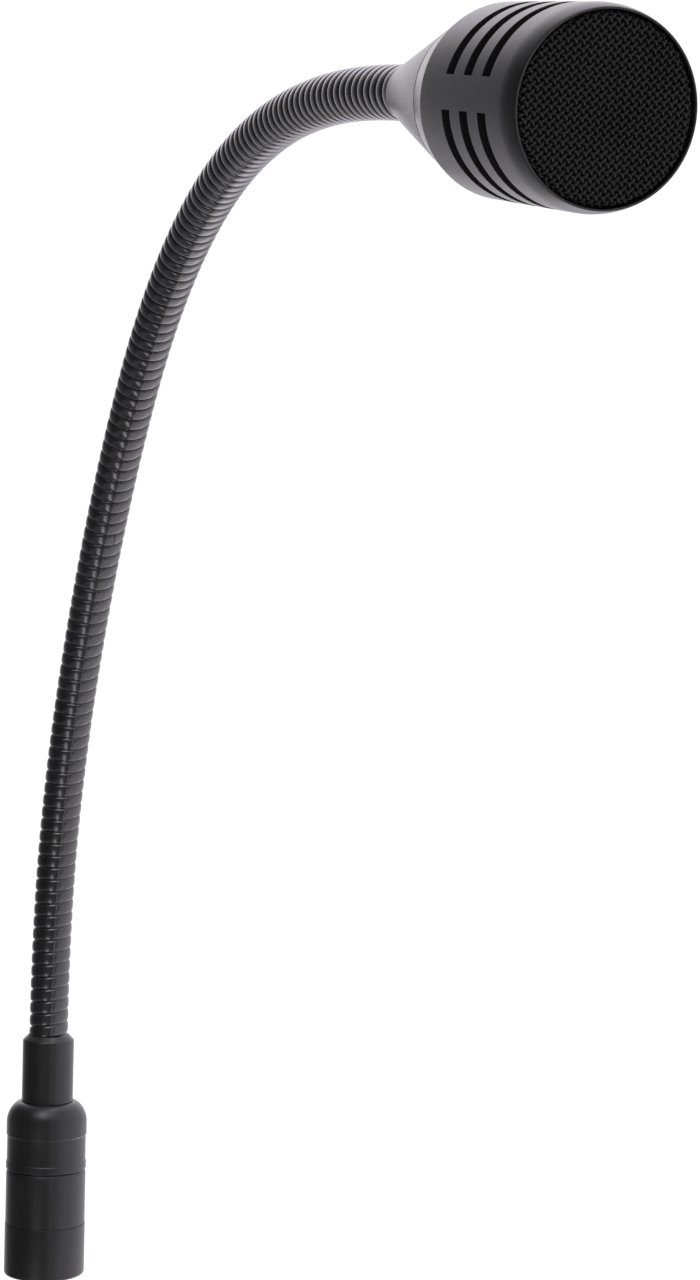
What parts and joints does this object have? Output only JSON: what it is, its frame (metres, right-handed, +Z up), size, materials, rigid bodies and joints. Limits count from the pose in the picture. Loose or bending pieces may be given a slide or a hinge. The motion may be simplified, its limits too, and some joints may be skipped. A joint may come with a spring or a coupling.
{
  "type": "gooseneck podium microphone",
  "caption": "Microphone with a slotted cylindrical head and woven mesh front on a ribbed flexible neck that rises from a three-pin plug.",
  "frame": {"origin": "centre of the plug's open end, where it meets its socket", "axes": "+Z up the plug's axis into the neck, the head faces -Y, +X to the right as seen from the head's front"},
  "size_m": [0.0289, 0.2931, 0.2569],
  "materials": {
    "plug_black": "satin black enamel on turned metal",
    "ferrule_black": "satin black enamel",
    "neck_black": "satin black over wound steel wire",
    "head_black": "fine-blasted black anodised",
    "mesh_black": "black-coated woven wire",
    "black_plastic": "moulded",
    "black_rubber": "matt",
    "black_cloth": "fine acoustic cloth",
    "black_foam": "open-cell foam",
    "bright_steel": "plain machined",
    "pin_silver": "silver-plated",
    "copper": "enamelled copper winding",
    "wire_insulation": "coloured insulation",
    "board_green": "glass-fibre board",
    "film": "thin clear film"
  },
  "bodies": {
    "plug": {"plug_shell": "plug_black", "rear_nut": "plug_black", "contact_insert": "black_plastic", "earth_tag": "bright_steel", "clamp_collet": "black_plastic", "neck_ferrule": "ferrule_black", "neck_bush": "bright_steel", "contact_pin_1": "pin_silver", "contact_pin_2": "pin_silver", "contact_pin_3": "pin_silver", "core_wire_1": "wire_insulation", "core_wire_2": "wire_insulation", "core_wire_3": "wire_insulation", "neck_coil_01": "neck_black", "lead_01": "black_rubber"},
    "neck_02": {"neck_coil_02": "neck_black", "lead_02": "black_rubber"},
    "neck_03": {"neck_coil_03": "neck_black", "lead_03": "black_rubber"},
    "neck_04": {"neck_coil_04": "neck_black", "lead_04": "black_rubber"},
    "neck_05": {"neck_coil_05": "neck_black", "lead_05": "black_rubber"},
    "neck_06": {"neck_coil_06": "neck_black", "lead_06": "black_rubber"},
    "neck_07": {"neck_coil_07": "neck_black", "lead_07": "black_rubber"},
    "neck_08": {"neck_coil_08": "neck_black", "lead_08": "black_rubber"},
    "neck_09": {"neck_coil_09": "neck_black", "lead_09": "black_rubber"},
    "neck_10": {"neck_coil_10": "neck_black", "lead_10": "black_rubber"},
    "neck_11": {"neck_coil_11": "neck_black", "lead_11": "black_rubber"},
    "head": {"neck_coil_12": "neck_black", "lead_12": "black_rubber", "rear_cone": "head_black", "head_collar": "bright_steel", "seam_gasket": "black_rubber", "head_body": "head_black", "cloth_sleeve": "black_cloth", "capsule_housing": "bright_steel", "mount_ring_rear": "black_rubber", "mount_ring_front": "black_rubber", "yoke": "bright_steel", "magnet": "bright_steel", "pole_piece": "bright_steel", "front_plate": "bright_steel", "terminal_board": "board_green", "mesh_ring": "head_black", "foam_disc": "black_foam", "mesh_grille": "mesh_black", "head_wire_1": "wire_insulation", "head_wire_2": "wire_insulation"},
    "diaphragm": {"diaphragm": "film", "voice_coil": "copper"}
  },
  "joints": [
    {"name": "neck_bend_1", "type": "hinge", "parent": "plug", "child": "neck_02", "pos_m": [0.00019, -0.00133, 0.08637], "axis": [0.9916, 0.1291, 0], "range_deg": [-30, 20]},
    {"name": "neck_sway_1", "type": "hinge", "parent": "neck_02", "child": "neck_03", "pos_m": [0.00067, -0.00551, 0.1123], "axis": [-0.1018, 0.969, 0.225], "range_deg": [-20, 20]},
    {"name": "neck_bend_2", "type": "hinge", "parent": "neck_03", "child": "neck_04", "pos_m": [0.00143, -0.01398, 0.14022], "axis": [0.997, 0.077, 0], "range_deg": [-30, 20]},
    {"name": "neck_sway_2", "type": "hinge", "parent": "neck_04", "child": "neck_05", "pos_m": [0.00212, -0.02461, 0.16424], "axis": [-0.0466, 0.8898, 0.454], "range_deg": [-20, 20]},
    {"name": "neck_bend_3", "type": "hinge", "parent": "neck_05", "child": "neck_06", "pos_m": [0.00268, -0.0395, 0.18934], "axis": [0.9997, 0.0248, 0], "range_deg": [-30, 20]},
    {"name": "neck_sway_3", "type": "hinge", "parent": "neck_06", "child": "neck_07", "pos_m": [0.00288, -0.05593, 0.20983], "axis": [0, 0.7314, 0.682], "range_deg": [-20, 20]},
    {"name": "neck_bend_4", "type": "hinge", "parent": "neck_07", "child": "neck_08", "pos_m": [0.00288, -0.07795, 0.22894], "axis": [1, 0, 0], "range_deg": [-30, 20]},
    {"name": "neck_sway_4", "type": "hinge", "parent": "neck_08", "child": "neck_09", "pos_m": [0.00288, -0.10092, 0.24163], "axis": [0, 0.3907, 0.9205], "range_deg": [-20, 20]},
    {"name": "neck_bend_5", "type": "hinge", "parent": "neck_09", "child": "neck_10", "pos_m": [0.00288, -0.12888, 0.24987], "axis": [1, 0, 0], "range_deg": [-30, 20]},
    {"name": "neck_sway_5", "type": "hinge", "parent": "neck_10", "child": "neck_11", "pos_m": [0.00288, -0.15503, 0.25227], "axis": [0, 0.0087, 1], "range_deg": [-20, 20]},
    {"name": "neck_bend_6", "type": "hinge", "parent": "neck_11", "child": "head", "pos_m": [0.00288, -0.18418, 0.25065], "axis": [1, 0, 0], "range_deg": [-30, 20]},
    {"name": "diaphragm_slide", "type": "slide", "parent": "head", "child": "diaphragm", "axis": [0, -0.9816, -0.1908], "range_m": [-0.0003, 0.0003], "stiffness_N_per_m": 200}
  ]
}
